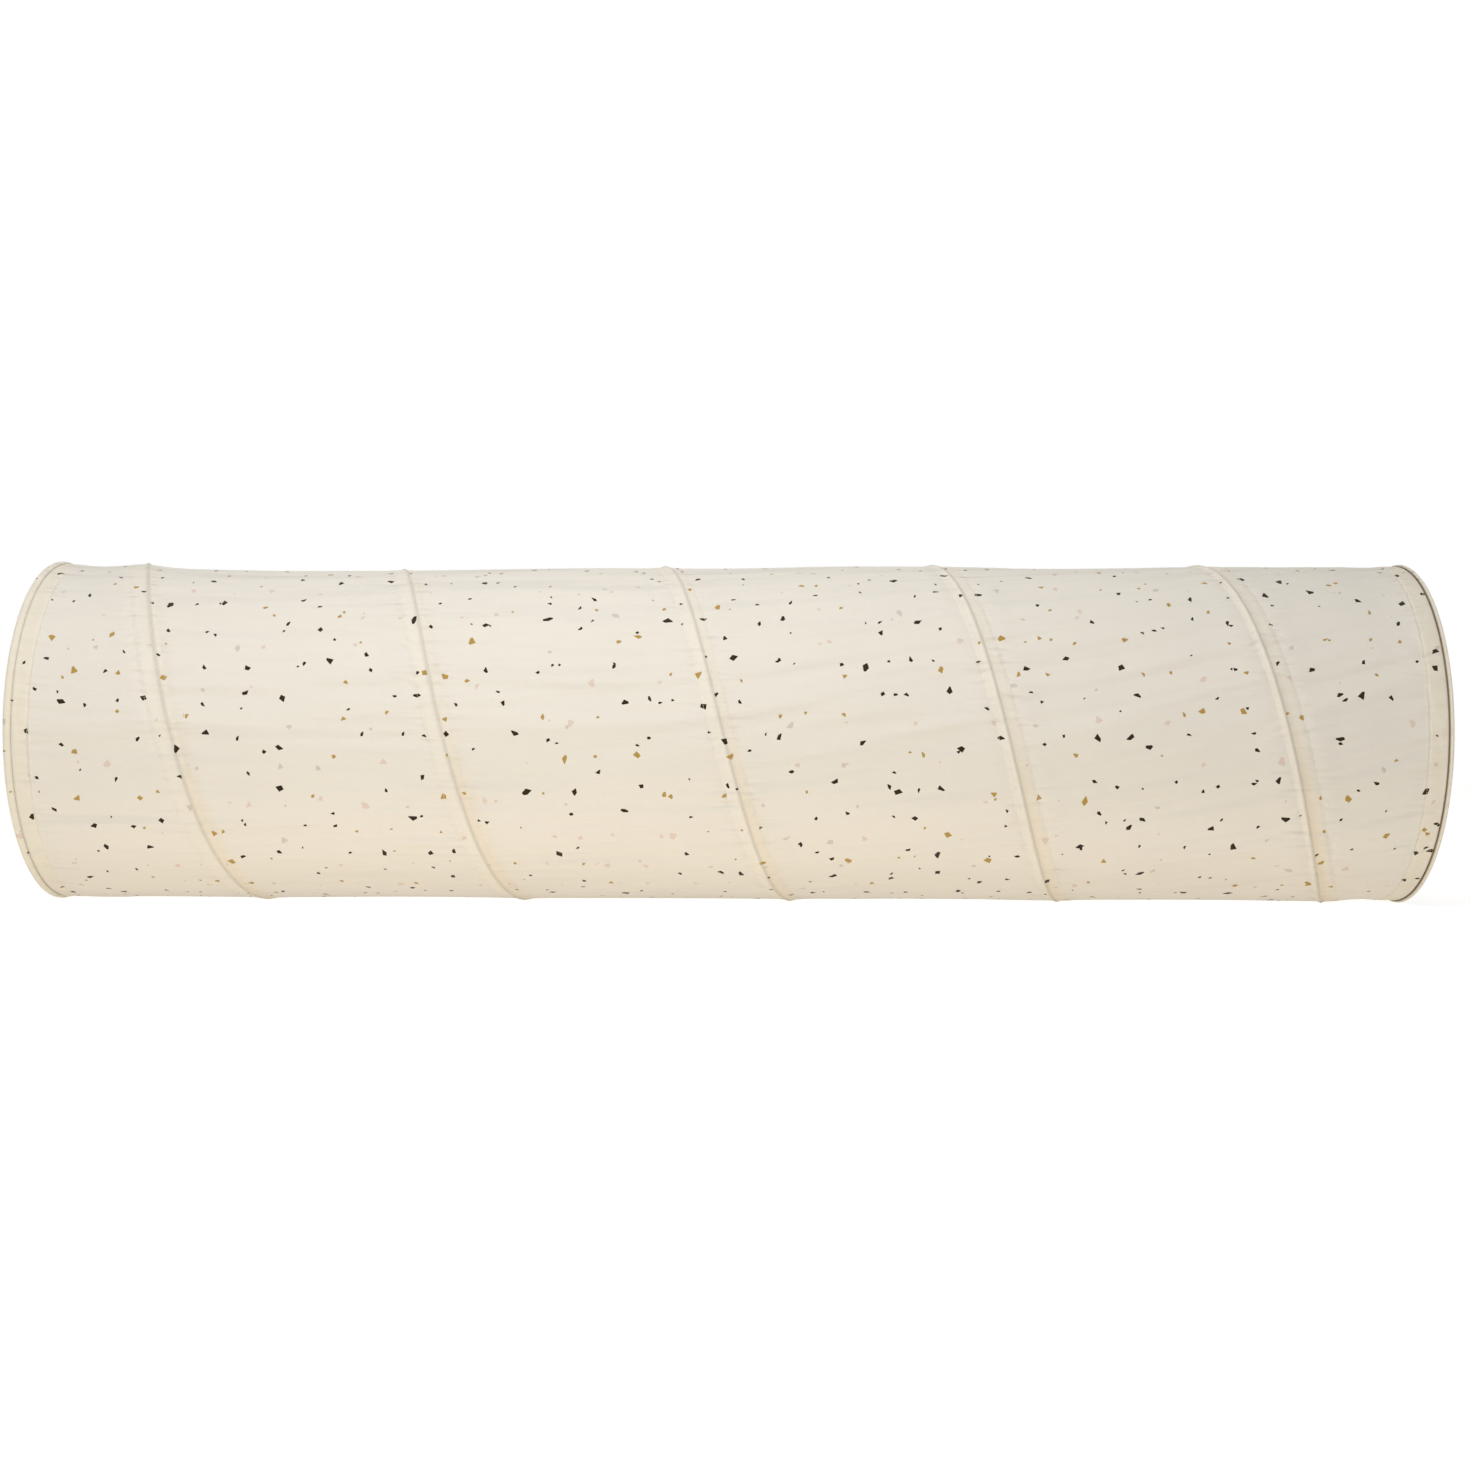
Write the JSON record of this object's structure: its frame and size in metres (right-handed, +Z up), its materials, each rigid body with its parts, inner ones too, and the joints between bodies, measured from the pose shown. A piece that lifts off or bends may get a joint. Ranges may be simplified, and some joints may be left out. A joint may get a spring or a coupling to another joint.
{
  "type": "play tunnel",
  "caption": "Long round cloth crawl tunnel held open by a spiral spring wire and two end hoops; it folds flat along its length.",
  "frame": {"origin": "on the floor under the middle of the tunnel", "axes": "+X along the tunnel from its left end to its right end, +Z up; the tunnel lies on the floor at z = 0"},
  "size_m": [1.8, 0.4512, 0.4511],
  "materials": {
    "printed_cloth": "plain weave, printed",
    "casing_tape": "plain weave",
    "hem_cloth": "plain weave",
    "thread": "spun",
    "spring_steel": "drawn wire",
    "crimped_steel": "crimped",
    "tip_plastic": "moulded"
  },
  "bodies": {
    "left_end": {"shell": "printed_cloth", "spiral_wire": "spring_steel", "spiral_casing": "casing_tape", "casing_stitching_left": "thread", "casing_stitching_right": "thread", "left_wire_tip": "tip_plastic", "left_rim_binding": "hem_cloth", "left_hoop": "spring_steel", "left_hoop_sleeve": "crimped_steel", "left_hem_facing": "hem_cloth", "left_rim_stitching": "thread", "left_hem_stitching": "thread"},
    "right_end": {"right_wire_tip": "tip_plastic", "right_rim_binding": "hem_cloth", "right_hoop": "spring_steel", "right_hoop_sleeve": "crimped_steel", "right_hem_facing": "hem_cloth", "right_rim_stitching": "thread", "right_hem_stitching": "thread"}
  },
  "joints": [
    {"name": "collapse", "type": "slide", "parent": "left_end", "child": "right_end", "axis": [-1, 0, 0], "range_m": [0, 1.706], "stiffness_N_per_m": 4, "springref_m": -0.5, "deforming": ["shell", "spiral_wire", "spiral_casing", "casing_stitching_left", "casing_stitching_right"]}
  ]
}
